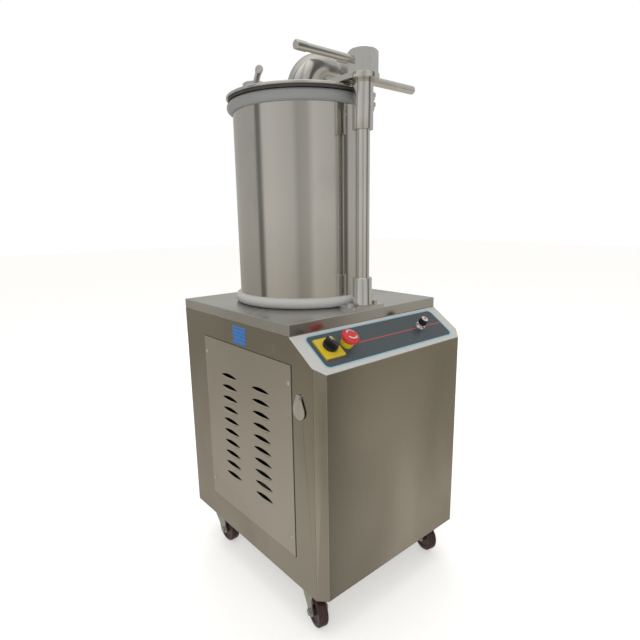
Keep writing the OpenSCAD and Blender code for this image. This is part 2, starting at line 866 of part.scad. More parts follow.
module regulator_knob() {
    color("#18181a") place() on_fascia(regulator_x, fascia_mid) {
        translate([0, 0, -16]) cylinder(r = 3, h = 24);
        difference() {
            translate([0, 0, 9 + gap]) cylinder(r1 = 10.4, r2 = 9.8, h = 14);
            for (a = [0 : 30 : 330]) rotate([0, 0, a]) translate([11.6, 0, 9]) cylinder(r = 2, h = 12, $fn = 24);
        }
        translate([0, 0, 23 + gap]) cylinder(r = 8, h = 1.5);
    }
}

// ---- inside the cabinet ----

module oil_tank() {
    wall = 2.5;
    low = [tank_x, tank_y, pan_top];
    high = low + [tank_w, tank_d, tank_h];
    color("#6a7074") place() difference() {
        block(low, high);
        block(low + [wall, wall, wall], high - [wall, wall, wall]);
    }
}

module motor() {
    color("#3f5560") place() {
        translate([motor_x, 0, motor_z]) rotate([-90, 0, 0]) {
            translate([0, 0, -20]) cylinder(r = motor_r, h = 200);
            translate([0, 0, 180]) cylinder(r = motor_r - 4, h = 30);
        }
        block([motor_x - 55, 20, pan_top], [motor_x + 55, 150, motor_z - motor_r + 12]);
    }
}

module hydraulic_pump() {
    color("#8a8f92") place() translate([motor_x, 0, motor_z]) {
        translate([0, -20, 0]) rotate([90, 0, 0]) cylinder(r = 60, h = 38);
        block([-35, pump_y, -42], [35, -57, 42]);
    }
}

module valve_block() {
    color("#8a8f92") place() {
        block([85, sheet_t - foot_front, 495], [155, 52 - foot_front, 560]);
        translate([120, 26 - foot_front, 560]) cylinder(r = 16, h = 34);
    }
}

// A pipe along straight legs with round corners
module pipe(points, r) {
    for (i = [0 : len(points) - 2]) {
        leg = points[i + 1] - points[i];
        translate(points[i]) rotate([0, acos(leg[2] / norm(leg)), atan2(leg[1], leg[0])])
            cylinder(r = r, h = norm(leg), $fn = 32);
        if (i > 0) translate(points[i]) sphere(r = r, $fn = 32);
    }
}

module hydraulic_pipes() {
    valve_y = 52 - foot_front;
    pump_mid = (pump_y - 57) / 2;
    color("#2a2c2e") place() {
        pipe([[motor_x, pump_mid, motor_z + 42], [motor_x, pump_mid, 400], [120, pump_mid, 400],
            [120, pump_mid, 535], [120, valve_y, 535]], 6);
        pipe([[98, valve_y, 512], [98, -150, 512], [0, -150, 512], [0, -150, cylinder_z + 28],
            [0, -cylinder_r - gap, cylinder_z + 28]], 6);
        pipe([[143, valve_y, 512], [143, -105, 512], [143, -105, pan_top + tank_h]], 6);
        pipe([[tank_x, pump_mid, 150 + 20], [motor_x + 35, pump_mid, 150 + 20]], 9);
    }
}

module electrical_box() {
    low = [-205, sheet_t - foot_front, 430];
    high = [-95, 60 - foot_front, 560];
    color("#b8bcc0") place() difference() {
        block(low, high);
        block(low + [2, 2, 2], high - [2, 2, 2]);
    }
}

floor_pan();
front_panel();
left_side_panel();
right_side_panel();
rear_cover();
worktop();
control_fascia();
fascia_overlay();
left_access_panel();
right_access_panel();
panel_screws();
mains_gland();
oil_drain_plug();
caster_plates();
barrel();
base_collar();
top_collar();
front_column_base();
front_column_rod();
rear_column_base();
rear_column_rod();
column_bolts();
hydraulic_cylinder();
cylinder_gland();
oil_tank();
motor();
hydraulic_pump();
valve_block();
hydraulic_pipes();
electrical_box();
isolator_base();
stop_collar();
knob_bezel();
isolator_knob();
stop_button();
regulator_knob();
lock_cover();
lid();
lid_yoke();
lid_seal();
outlet_elbow();
union_nut();
stuffing_tube();
pivot_sleeve();
sleeve_bolts();
front_clamp_nut();
front_clamp_bar();
rear_clamp_nut();
rear_clamp_bar();
piston();
piston_seal();
ram_rod();
place() at_caster(-1, true) rotate([0, 0, front_left_turn]) fork();  // fork_front_left
place() at_caster(1, true) rotate([0, 0, front_right_turn]) fork();  // fork_front_right
place() at_caster(-1, false) fork();  // fork_rear_left
place() at_caster(1, false) fork();  // fork_rear_right
place() at_caster(-1, true) rotate([0, 0, front_left_turn]) wheel();  // wheel_front_left
place() at_caster(1, true) rotate([0, 0, front_right_turn]) wheel();  // wheel_front_right
place() at_caster(-1, false) wheel();  // wheel_rear_left
place() at_caster(1, false) wheel();  // wheel_rear_right
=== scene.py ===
"""Looks of the hydraulic sausage filler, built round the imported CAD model. Metres, +Z up, -Y is the operator's side."""

import json
import math

import bmesh
import bpy
from mathutils import Matrix, Vector


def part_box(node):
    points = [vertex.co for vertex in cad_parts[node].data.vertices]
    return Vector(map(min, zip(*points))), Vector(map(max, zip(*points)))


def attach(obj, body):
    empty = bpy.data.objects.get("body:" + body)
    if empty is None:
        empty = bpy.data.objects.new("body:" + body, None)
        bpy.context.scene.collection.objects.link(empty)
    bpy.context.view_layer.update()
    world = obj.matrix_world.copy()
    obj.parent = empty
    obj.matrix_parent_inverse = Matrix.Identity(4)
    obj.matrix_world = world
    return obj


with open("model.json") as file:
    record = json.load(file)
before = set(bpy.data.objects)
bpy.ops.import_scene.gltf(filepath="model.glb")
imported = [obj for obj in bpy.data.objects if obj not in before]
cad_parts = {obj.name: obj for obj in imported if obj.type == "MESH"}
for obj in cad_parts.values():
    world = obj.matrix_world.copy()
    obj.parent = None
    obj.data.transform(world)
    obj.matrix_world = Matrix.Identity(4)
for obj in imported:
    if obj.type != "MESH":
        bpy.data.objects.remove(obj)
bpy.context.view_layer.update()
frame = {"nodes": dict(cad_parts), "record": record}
nodes = frame["nodes"]
MM = 0.001


# ---------------------------------------------------------------- materials


class Mat:
    """A node material with a Principled shader and short ways to add procedural detail."""

    def __init__(self, name, colour, metallic=0.0, rough=0.5, **sockets):
        self.mat = bpy.data.materials.new(name)
        self.mat.use_nodes = True
        self.tree = self.mat.node_tree
        self.shader = self.tree.nodes["Principled BSDF"]
        self.colour = (*colour, 1.0)
        self.rough = rough
        self.shader.inputs["Base Color"].default_value = self.colour
        self.shader.inputs["Metallic"].default_value = metallic
        self.shader.inputs["Roughness"].default_value = rough
        for socket, value in sockets.items():
            self.shader.inputs[socket.replace("_", " ")].default_value = value
        self.mat.diffuse_color = self.colour
        self.coord = self.tree.nodes.new("ShaderNodeTexCoord").outputs["Object"]
        self.colour_out = None
        self.rough_out = None
        self.height_out = None

    def node(self, kind, **values):
        made = self.tree.nodes.new(kind)
        for key, value in values.items():
            setattr(made, key, value)
        return made

    def link(self, source, target):
        self.tree.links.new(source, target)

    def noise(self, scale=(1, 1, 1), size=1.0, detail=3.0, distortion=0.0):
        """Noise from 0 to 1; scale stretches it and size is its frequency per metre."""
        mapping = self.node("ShaderNodeMapping")
        mapping.inputs["Scale"].default_value = scale
        self.link(self.coord, mapping.inputs["Vector"])
        tex = self.node("ShaderNodeTexNoise")
        tex.inputs["Scale"].default_value = size
        tex.inputs["Detail"].default_value = detail
        tex.inputs["Distortion"].default_value = distortion
        self.link(mapping.outputs["Vector"], tex.inputs["Vector"])
        return tex.outputs["Fac"]

    def height(self):
        """The point's height above the floor, in metres."""
        split = self.node("ShaderNodeSeparateXYZ")
        self.link(self.coord, split.inputs["Vector"])
        return split.outputs["Z"]

    def ramp(self, source, low, high, out_low=0.0, out_high=1.0):
        """Source stretched from low..high to out_low..out_high."""
        made = self.node("ShaderNodeMapRange")
        made.inputs["From Min"].default_value = low
        made.inputs["From Max"].default_value = high
        made.inputs["To Min"].default_value = out_low
        made.inputs["To Max"].default_value = out_high
        self.link(source, made.inputs["Value"])
        return made.outputs["Result"]

    def tint(self, fac, colour):
        """Mixes colour over the base wherever fac is high."""
        mix = self.node("ShaderNodeMix", data_type="RGBA")
        self.link(fac, mix.inputs["Factor"])
        if self.colour_out is None:
            mix.inputs["A"].default_value = self.colour
        else:
            self.link(self.colour_out, mix.inputs["A"])
        mix.inputs["B"].default_value = (*colour, 1.0)
        self.colour_out = mix.outputs["Result"]
        return self

    def vary_rough(self, fac, amount):
        """Adds fac * amount to the roughness."""
        add = self.node("ShaderNodeMath", operation="MULTIPLY_ADD")
        self.link(fac, add.inputs[0])
        add.inputs[1].default_value = amount
        if self.rough_out is None:
            add.inputs[2].default_value = self.rough
        else:
            self.link(self.rough_out, add.inputs[2])
        self.rough_out = add.outputs["Value"]
        return self

    def raise_by(self, fac, amount):
        """Adds fac * amount, in metres, to the surface's bump height."""
        add = self.node("ShaderNodeMath", operation="MULTIPLY_ADD")
        self.link(fac, add.inputs[0])
        add.inputs[1].default_value = amount
        if self.height_out is None:
            add.inputs[2].default_value = 0.0
        else:
            self.link(self.height_out, add.inputs[2])
        self.height_out = add.outputs["Value"]
        return self

    def done(self):
        if self.colour_out is not None:
            self.link(self.colour_out, self.shader.inputs["Base Color"])
        if self.rough_out is not None:
            self.link(self.rough_out, self.shader.inputs["Roughness"])
        if self.height_out is not None:
            bump = self.node("ShaderNodeBump")
            bump.inputs["Strength"].default_value = 1.0
            bump.inputs["Distance"].default_value = 1.0
            self.link(self.height_out, bump.inputs["Height"])
            self.link(bump.outputs["Normal"], self.shader.inputs["Normal"])
        return self.mat


def brushed(name, colour, along, rough=0.24, cloud_tint=None, shade_by_height=None):
    """Brushed sheet steel; along is the axis, 0 to 2, of the grain. Given two heights and a darker colour, it paints
    shade that darkens the steel towards the upper height.
    """
    made = Mat(name, colour, metallic=1.0, rough=rough)
    stretch = [1.0, 1.0, 1.0]
    stretch[along] = 0.02
    fine = made.noise(stretch, size=1500, detail=3)
    coarse = made.noise(stretch, size=260, detail=2)
    cloud = made.noise((1, 1, 0.6), size=3.2, detail=2, distortion=0.5)
    marks = made.noise(size=30, detail=4)
    # painted shade: the steel darkens towards the upper height
    if shade_by_height is not None:
        low_z, high_z, tint = shade_by_height
        made.tint(made.ramp(made.height(), low_z, high_z), tint)
    made.tint(made.ramp(cloud, 0.42, 0.68, 0.0, 0.55), cloud_tint or [c * 0.72 for c in colour])
    made.tint(made.ramp(fine, 0.40, 0.72, 0.0, 0.10), [c * 0.80 for c in colour])
    made.tint(made.ramp(marks, 0.60, 0.80, 0.0, 0.18), [min(1.0, c * 1.2) for c in colour])
    made.vary_rough(made.ramp(coarse, 0.3, 0.7, -0.015, 0.015), 1.0)
    made.vary_rough(made.ramp(cloud, 0.35, 0.7, -0.04, 0.06), 1.0)
    made.vary_rough(made.ramp(marks, 0.58, 0.75, 0.0, 0.05), 1.0)
    made.raise_by(fine, 0.0000002)
    return made.done()


def polished(name, colour, rough=0.12, swirl=1.0):
    """Turned and polished steel with faint wipe marks and fingerprints."""
    made = Mat(name, colour, metallic=1.0, rough=rough)
    streak = made.noise((1, 1, 0.03), size=420, detail=1)
    wipe = made.noise((1, 1, 0.35), size=11, detail=5, distortion=1.2)
    prints = made.noise(size=55, detail=4)
    darker = [c * 0.86 for c in colour]
    made.tint(made.ramp(wipe, 0.5, 0.8, 0.0, 0.5 * swirl), darker)
    made.vary_rough(made.ramp(streak, 0.35, 0.7, -0.02, 0.03), swirl)
    made.vary_rough(made.ramp(wipe, 0.4, 0.75, -0.02, 0.10), swirl)
    made.vary_rough(made.ramp(prints, 0.6, 0.78, 0.0, 0.04), swirl)
    made.raise_by(streak, 0.0000003 * swirl)
    return made.done()


def cast(name, colour, metallic=0.85, rough=0.42, pit=1.0):
    """Satin metal with a fine pitted surface and rubbed patches."""
    made = Mat(name, colour, metallic=metallic, rough=rough)
    grit = made.noise(size=1600, detail=3)
    patch = made.noise(size=30, detail=4, distortion=0.4)
    made.tint(made.ramp(patch, 0.45, 0.75, 0.0, 0.6), [c * 0.78 for c in colour])
    made.tint(made.ramp(grit, 0.5, 0.75, 0.0, 0.4), [min(1.0, c * 1.15) for c in colour])
    made.vary_rough(made.ramp(patch, 0.4, 0.7, -0.08, 0.10), 1.0)
    made.raise_by(grit, 0.00003 * pit)
    return made.done()


def moulded(name, colour, rough=0.38, grain=1.0, dust=0.25, **sockets):
    """Moulded plastic, rubber or powder coat: fine texture, slight mottling and a little dust."""
    made = Mat(name, colour, rough=rough, **sockets)
    peel = made.noise(size=1300, detail=2)
    cloud = made.noise(size=24, detail=4)
    grey = [c * 0.7 + 0.12 for c in colour]
    made.tint(made.ramp(cloud, 0.5, 0.8, 0.0, dust), grey)
    made.vary_rough(made.ramp(cloud, 0.35, 0.7, -0.06, 0.10), 1.0)
    made.vary_rough(made.ramp(peel, 0.4, 0.7, -0.03, 0.03), 1.0)
    made.raise_by(peel, 0.000025 * grain)
    return made.done()


def label_film():
    """A plain blue label with faint lighter rules across it."""
    made = Mat("label_blue", (0.020, 0.135, 0.42), rough=0.3)
    lines = made.node("ShaderNodeTexWave", wave_type="BANDS", bands_direction="Z", wave_profile="SIN")
    lines.inputs["Scale"].default_value = 36
    lines.inputs["Distortion"].default_value = 0.3
    lines.inputs["Detail"].default_value = 1
    made.link(made.coord, lines.inputs["Vector"])
    scuff = made.noise(size=90, detail=4)
    made.tint(made.ramp(lines.outputs["Fac"], 0.75, 0.95, 0.0, 0.35), (0.10, 0.32, 0.62))
    made.tint(made.ramp(scuff, 0.55, 0.8, 0.0, 0.35), (0.12, 0.25, 0.45))
    made.vary_rough(made.ramp(scuff, 0.4, 0.7, -0.05, 0.12), 1.0)
    made.raise_by(scuff, 0.00002)
    return made.done()


def make_materials():
    return {
        # the cabinet steel gets painted shade, darker towards its top between 0.25 m and 0.66 m
        "cabinet_steel": brushed("cabinet_steel", (0.455, 0.435, 0.385), 2, rough=0.20,
                                 cloud_tint=(0.27, 0.25, 0.20), shade_by_height=(0.25, 0.66, (0.38, 0.355, 0.30))),
        "worktop_steel": brushed("worktop_steel", (0.60, 0.59, 0.57), 0, rough=0.22),
        "access_steel": brushed("access_steel", (0.58, 0.555, 0.505), 2, rough=0.25,
                                cloud_tint=(0.46, 0.44, 0.385)),
        "barrel_steel": polished("barrel_steel", (0.60, 0.585, 0.555), rough=0.085),
        "polished_steel": polished("polished_steel", (0.70, 0.69, 0.665), rough=0.16),
        "clamp_steel": cast("clamp_steel", (0.74, 0.735, 0.715), metallic=1.0, rough=0.36),
        "zinc_plate": cast("zinc_plate", (0.50, 0.53, 0.48), metallic=1.0, rough=0.38),
        "cast_alloy": cast("cast_alloy", (0.45, 0.46, 0.47), rough=0.5, pit=2.0),
        "fascia_white": moulded("fascia_white", (0.58, 0.58, 0.56), rough=0.33, dust=0.12),
        "overlay_film": moulded("overlay_film", (0.052, 0.070, 0.080), rough=0.34, dust=0.06),
        "collar_white": moulded("collar_white", (0.58, 0.58, 0.56), rough=0.36, dust=0.20),
        # painted shade: a darker copy of collar_white for the collar in the lid's shadow
        "collar_painted_shade": moulded("collar_painted_shade", (0.25, 0.255, 0.25), rough=0.36, dust=0.20),
        "seal_rubber": moulded("seal_rubber", (0.055, 0.056, 0.056), rough=0.62),
        "hose_rubber": moulded("hose_rubber", (0.03, 0.03, 0.03), rough=0.6),
        "wheel_plastic": moulded("wheel_plastic", (0.040, 0.014, 0.015), rough=0.34, dust=0.15),
        "machine_paint": moulded("machine_paint", (0.16, 0.18, 0.20), rough=0.35),
        "motor_paint": moulded("motor_paint", (0.07, 0.14, 0.18), rough=0.35),
        "box_plastic": moulded("box_plastic", (0.45, 0.47, 0.49), rough=0.45),
        "yellow_plastic": moulded("yellow_plastic", (0.66, 0.50, 0.03), rough=0.35, dust=0.10),
        "red_plastic": moulded("red_plastic", (0.60, 0.030, 0.035), rough=0.32, dust=0.12),
        "black_plastic": moulded("black_plastic", (0.014, 0.014, 0.016), rough=0.34, dust=0.15),
        "bezel_chrome": polished("bezel_chrome", (0.78, 0.78, 0.79), rough=0.08, swirl=0.4),
        "border_blue": moulded("border_blue", (0.28, 0.52, 0.66), rough=0.35, grain=0.3, dust=0.1),
        "stripe_red": moulded("stripe_red", (0.50, 0.06, 0.07), rough=0.35, grain=0.3, dust=0.1),
        "label_blue": label_film(),
        "weld_steel": cast("weld_steel", (0.40, 0.385, 0.35), metallic=1.0, rough=0.34, pit=1.5),
    }


materials = make_materials()
slot_of = {row["node"]: row["material_slot"] for row in frame["record"]["subparts"]}


def paint(obj, material):
    obj.data.materials.clear()
    obj.data.materials.append(material)


# The collar under the lid gets a darker copy of the collar material: painted shade for the lid's shadow on it
SHADED_COPIES = {"top_collar": "collar_painted_shade"}

for name, obj in nodes.items():
    paint(obj, materials[SHADED_COPIES.get(name, slot_of[name])])


# ---------------------------------------------------------------- edges of the CAD nodes

BEVELS = {
    "worktop": 1.6, "front_panel": 1.2, "left_side_panel": 0.5, "right_side_panel": 0.5,
    "control_fascia": 0.8, "left_access_panel": 0.45, "right_access_panel": 0.45, "rear_cover": 0.5,
    "lid": 1.0, "lid_yoke": 1.2, "front_column_base": 0.9, "rear_column_base": 0.9,
    "front_clamp_nut": 1.1, "rear_clamp_nut": 1.1, "union_nut": 0.8, "pivot_sleeve": 0.7,
    "isolator_base": 0.8, "isolator_knob": 1.0, "stop_collar": 0.6, "knob_bezel": 0.5,
    "regulator_knob": 0.6, "lock_cover": 0.5, "column_bolts": 0.5, "sleeve_bolts": 0.5,
    "mains_gland": 0.6, "oil_drain_plug": 0.6, "caster_plates": 0.8,
}


def soften(obj, width_mm):
    """Rounds an imported node's sharp edges with modifiers; its own mesh stays as it is."""
    weld = obj.modifiers.new("weld", "WELD")
    weld.merge_threshold = 0.00001
    bevel = obj.modifiers.new("bevel", "BEVEL")
    bevel.width = width_mm * MM
    bevel.segments = 3
    bevel.limit_method = "ANGLE"
    bevel.angle_limit = math.radians(38)
    bevel.use_clamp_overlap = True
    bevel.harden_normals = True


for name, width in BEVELS.items():
    soften(nodes[name], width)
for corner in ("front_left", "front_right", "rear_left", "rear_right"):
    soften(nodes["fork_" + corner], 0.6)
    soften(nodes["wheel_" + corner], 0.9)


# ---------------------------------------------------------------- mesh helpers


def add_piece(name, mesh, body, material):
    """A new piece with its material, riding on a body."""
    obj = bpy.data.objects.new(name, mesh)
    bpy.context.scene.collection.objects.link(obj)
    paint(obj, materials[material])
    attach(obj, body)
    return obj


def rounded_outline(width, height, radius, steps=8):
    """Points of a rounded rectangle round the origin, anticlockwise."""
    points = []
    for turn, (sx, sy) in enumerate(((1, 1), (-1, 1), (-1, -1), (1, -1))):
        for step in range(steps + 1):
            angle = math.pi / 2 * (turn + step / steps)
            points.append((sx * (width / 2 - radius) + radius * math.cos(angle),
                           sy * (height / 2 - radius) + radius * math.sin(angle)))
    return points


def ring_plate(name, outer, inner, thickness, place, edge):
    """A flat frame between two outlines with the same number of points, standing on place's XY plane."""
    work = bmesh.new()
    loops = []
    for outline, level in ((outer, 0), (outer, thickness), (inner, thickness), (inner, 0)):
        loops.append([work.verts.new(place @ Vector((x, y, level))) for x, y in outline])
    count = len(outer)
    for first in range(4):
        here, there = loops[first], loops[(first + 1) % 4]
        for k in range(count):
            after = (k + 1) % count
            work.faces.new((here[k], here[after], there[after], there[k]))
    bmesh.ops.recalc_face_normals(work, faces=work.faces)
    return rounded_mesh(name, work, edge)


def solid_plate(name, outline, thickness, place, edge):
    """A flat plate of one outline standing on place's XY plane."""
    work = bmesh.new()
    low = [work.verts.new(place @ Vector((x, y, 0))) for x, y in outline]
    high = [work.verts.new(place @ Vector((x, y, thickness))) for x, y in outline]
    count = len(outline)
    work.faces.new(list(reversed(low)))
    work.faces.new(high)
    for k in range(count):
        after = (k + 1) % count
        work.faces.new((low[k], low[after], high[after], high[k]))
    bmesh.ops.recalc_face_normals(work, faces=work.faces)
    return rounded_mesh(name, work, edge)


def rounded_mesh(name, work, edge):
    """The bmesh as a mesh, with its sharp edges rounded by edge metres."""
    sharp = [e for e in work.edges if e.calc_face_angle(0) > math.radians(50)]
    bmesh.ops.bevel(work, geom=sharp, offset=edge, segments=2, affect="EDGES", profile=0.5)
    mesh = bpy.data.meshes.new(name)
    work.to_mesh(mesh)
    work.free()
    return mesh


# ---------------------------------------------------------------- printed film on the fascia

X_AXIS = Vector((1, 0, 0))
joint_rows = {row["name"]: row for row in frame["record"]["behaviour"]["joints"]}
controls = Vector(joint_rows["isolator_turn"]["pos_m"])
fascia_out = Vector(joint_rows["isolator_turn"]["axis"]).normalized()
fascia_down = X_AXIS.cross(fascia_out)


def fascia_frame(x, down, out):
    """Local X along the machine's X and local Z out of the fascia, down metres below the controls' line."""
    origin = Vector((x, controls.y, controls.z)) + down * fascia_down + out * fascia_out
    return Matrix.Translation(origin) @ Matrix(
        (tuple(X_AXIS), tuple(-fascia_down), tuple(fascia_out))
    ).transposed().to_4x4()


film_low, film_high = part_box("fascia_overlay")
FILM_T = 0.6 * MM
FILM_R = 12 * MM
BORDER = 3.2 * MM
STRIPE_W = 2.6 * MM
STRIPE_DOWN = 3.8 * MM


def make_film_print():
    film_w = film_high.x - film_low.x
    slope = -fascia_down.z
    film_l = (film_high.z - film_low.z - FILM_T * fascia_out.z) / slope
    middle_z = (film_high.z + film_low.z - FILM_T * fascia_out.z) / 2
    down = (controls.z - middle_z) / slope
    centre_x = (film_low.x + film_high.x) / 2
    place = fascia_frame(centre_x, down, 0)
    clear = 0.15 * MM
    mesh = ring_plate(
        "film_border",
        rounded_outline(film_w + 2 * BORDER, film_l + 2 * BORDER, FILM_R + BORDER),
        rounded_outline(film_w + 2 * clear, film_l + 2 * clear, FILM_R + clear),
        0.5 * MM, place, 0.12 * MM,
    )
    add_piece("film_border", mesh, "root", "border_blue")
    stop_x = (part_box("stop_collar")[0].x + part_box("stop_collar")[1].x) / 2
    knob_x = (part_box("knob_bezel")[0].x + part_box("knob_bezel")[1].x) / 2
    spans = {
        "stripe_middle": (stop_x + 35 * MM, knob_x - 16 * MM),
        "stripe_right": (knob_x + 16 * MM, film_high.x - 3 * MM),
    }
    for name, (start, end) in spans.items():
        outline = rounded_outline(end - start, STRIPE_W, 1.0 * MM, 3)
        place = fascia_frame((start + end) / 2, STRIPE_DOWN, FILM_T)
        mesh = solid_plate(name, outline, 0.12 * MM, place, 0.03 * MM)
        add_piece(name, mesh, "root", "stripe_red")


make_film_print()


# ---------------------------------------------------------------- control details


def disc(name, radius, crown, place, rings=5, around=40, skirt=0.6 * MM):
    """A shallow dome: flat underside, short skirt and a crowned top."""
    work = bmesh.new()
    rows = [(radius, 0), (radius, skirt)]
    for k in range(1, rings + 1):
        lean = math.pi / 2 * k / rings
        rows.append((radius * math.cos(lean) if k < rings else 0.0, skirt + crown * math.sin(lean)))
    loops = []
    for r, z in rows[:-1]:
        loops.append([work.verts.new(place @ Vector((r * math.cos(a), r * math.sin(a), z)))
                      for a in (2 * math.pi * k / around for k in range(around))])
    top = work.verts.new(place @ Vector((0, 0, rows[-1][1])))
    work.faces.new(list(reversed(loops[0])))
    for here, there in zip(loops, loops[1:]):
        for k in range(around):
            after = (k + 1) % around
            work.faces.new((here[k], here[after], there[after], there[k]))
    for k in range(around):
        work.faces.new((loops[-1][k], loops[-1][(k + 1) % around], top))
    mesh = bpy.data.meshes.new(name)
    work.to_mesh(mesh)
    work.free()
    for face in mesh.polygons:
        face.use_smooth = len(face.vertices) < around
    return mesh


def top_of(node):
    """How far a control on the fascia reaches out from it, along the fascia's normal."""
    return max((vert.co - controls).dot(fascia_out) for vert in nodes[node].data.vertices)


def make_control_details():
    knob_low, knob_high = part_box("regulator_knob")
    knob_x = (knob_low.x + knob_high.x) / 2
    reach = top_of("regulator_knob")
    add_piece("knob_cap", disc("knob_cap", 8.6 * MM, 1.0 * MM, fascia_frame(knob_x, 0, reach - 0.3 * MM)),
              "regulator_knob", "fascia_white")
    add_piece("knob_dot", disc("knob_dot", 3.2 * MM, 0.5 * MM, fascia_frame(knob_x, 0, reach + 1.0 * MM)),
              "regulator_knob", "red_plastic")
    stop_low, stop_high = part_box("stop_button")
    stop_x = (stop_low.x + stop_high.x) / 2
    head_r = (stop_high.x - stop_low.x) / 2
    crown = 7 * MM
    head_top = top_of("stop_button")
    place = fascia_frame(stop_x, 0, head_top - crown)
    for number in range(2):
        name = "stop_arrow_%d" % number
        mesh = dome_arrow(name, head_r, crown, number, place)
        add_piece(name, mesh, "stop_button", "fascia_white")
    grip = top_of("isolator_knob")
    grip_x = (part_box("isolator_knob")[0].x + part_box("isolator_knob")[1].x) / 2
    mark = rounded_outline(2.2 * MM, 11 * MM, 1 * MM, 4)
    mesh = solid_plate("isolator_mark", mark, 0.25 * MM, fascia_frame(grip_x, -8.5 * MM, grip), 0.06 * MM)
    add_piece("isolator_mark", mesh, "isolator_knob", "fascia_white")


def dome_arrow(name, head_r, crown, number, place):
    """A curved arrow printed on the button's dome, thick enough to stand just off it."""
    inner, outer = 0.52 * head_r, 0.66 * head_r
    start, end = math.radians(20 + 180 * number), math.radians(150 + 180 * number)
    steps = 20
    rows = []
    for k in range(steps + 1):
        angle = start + (end - start) * k / steps
        left = steps - k
        if left < 6:
            half = 0.17 * head_r * left / 6 + 0.003 * head_r
        else:
            half = (outer - inner) / 2
        middle = (inner + outer) / 2
        rows.append((angle, middle - half, middle + half))
    work = bmesh.new()

    def vertex(angle, r, lift):
        level = crown * math.sqrt(max(0.0, 1 - (r / head_r) ** 2))
        return work.verts.new(place @ Vector((r * math.cos(angle), r * math.sin(angle), level + lift)))

    sunk, edge, ridge = 0.02 * MM, 0.22 * MM, 0.26 * MM
    sections = []
    for angle, near, far in rows:
        middle = (near + far) / 2
        sections.append([
            vertex(angle, near, sunk), vertex(angle, near, edge), vertex(angle, middle, ridge),
            vertex(angle, far, edge), vertex(angle, far, sunk), vertex(angle, middle, sunk),
        ])
    for here, there in zip(sections, sections[1:]):
        for k in range(6):
            after = (k + 1) % 6
            work.faces.new((here[k], here[after], there[after], there[k]))
    work.faces.new(list(reversed(sections[0])))
    work.faces.new(sections[-1])
    bmesh.ops.recalc_face_normals(work, faces=work.faces)
    mesh = bpy.data.meshes.new(name)
    work.to_mesh(mesh)
    work.free()
    return mesh


make_control_details()


# ---------------------------------------------------------------- label and painted shadow lines round the access panels


def side_frame(side, y, z, out):
    """Local X along the machine's depth, local Z out of the cabinet's left (-1) or right (+1) side."""
    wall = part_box("left_side_panel")[0].x if side < 0 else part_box("right_side_panel")[1].x
    outward = Vector((side, 0, 0))
    along = Vector((0, side, 0))
    return Matrix.Translation((wall + side * out, y, z)) @ Matrix(
        (tuple(along), (0, 0, 1), tuple(outward))
    ).transposed().to_4x4()


LABEL_W, LABEL_H = 56 * MM, 43 * MM


def make_label():
    low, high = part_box("left_access_panel")
    y = (low.y + high.y) / 2 + 14 * MM
    z = high.z + 7 * MM + LABEL_H / 2
    place = side_frame(-1, y, z, 0)
    outline = rounded_outline(LABEL_W, LABEL_H, 1.2 * MM, 3)
    add_piece("side_label", solid_plate("side_label", outline, 0.3 * MM, place, 0.08 * MM), "root", "label_blue")


def make_panel_shadow_lines():
    """Painted shadow: a dark strip that shows as a thin line round each access panel, where the gap round it is in
    shade.
    """
    for side, node in ((-1, "left_access_panel"), (1, "right_access_panel")):
        low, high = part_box(node)
        width, height = high.y - low.y, high.z - low.z
        place = side_frame(side, (low.y + high.y) / 2, (low.z + high.z) / 2, 0)
        name = node.replace("access_panel", "panel_shadow_line")
        line = 1.3 * MM
        mesh = ring_plate(name, rounded_outline(width + 2 * line, height + 2 * line, line, 3),
                          rounded_outline(width + 0.1 * MM, height + 0.1 * MM, 0.3 * MM, 3), 0.9 * MM, place, 0.2 * MM)
        # painted shadow line, drawn in the dark seal rubber material
        add_piece(name, mesh, "root", "seal_rubber")


make_label()
make_panel_shadow_lines()


# ---------------------------------------------------------------- weld beads


def weld_bead(name, centre, radius, bead, body, around=96, section=10):
    """A lumpy ring of weld round an upright tube."""
    work = bmesh.new()
    loops = []
    for k in range(around):
        angle = 2 * math.pi * k / around
        swell = bead * (1 + 0.16 * math.sin(angle * around / 4) + 0.07 * math.sin(angle * 5 + 1))
        middle = Vector(centre) + Vector((math.cos(angle), math.sin(angle), 0)) * (radius + 0.25 * bead)
        side = Vector((math.cos(angle), math.sin(angle), 0))
        loops.append([work.verts.new(middle + side * swell * math.cos(t) + Vector((0, 0, swell * math.sin(t))))
                      for t in (2 * math.pi * m / section for m in range(section))])
    for k in range(around):
        here, there = loops[k], loops[(k + 1) % around]
        for m in range(section):
            after = (m + 1) % section
            work.faces.new((here[m], there[m], there[after], here[after]))
    bmesh.ops.recalc_face_normals(work, faces=work.faces)
    for face in work.faces:
        face.smooth = True
    mesh = bpy.data.meshes.new(name)
    work.to_mesh(mesh)
    work.free()
    return add_piece(name, mesh, body, "weld_steel")


# Sizes of the tubes that the beads run round
SOCKET_R = {"front": 22.5 * MM, "rear": 18 * MM}
FLANGE_T = 8 * MM
ELBOW_R = 36 * MM
YOKE_T = 12 * MM


def make_welds():
    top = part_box("worktop")[1].z
    for name, socket_r in SOCKET_R.items():
        low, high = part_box(name + "_column_rod")
        centre = ((low.x + high.x) / 2, (low.y + high.y) / 2, top + FLANGE_T)
        weld_bead(name + "_base_weld", centre, socket_r, 2.0 * MM, "root")
    barrel_low, barrel_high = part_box("barrel")
    yoke_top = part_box("lid_yoke")[0].z + YOKE_T
    centre = ((barrel_low.x + barrel_high.x) / 2, (barrel_low.y + barrel_high.y) / 2, yoke_top)
    weld_bead("elbow_weld", centre, ELBOW_R, 2.2 * MM, "lid", around=144)


make_welds()


# ---------------------------------------------------------------- studio


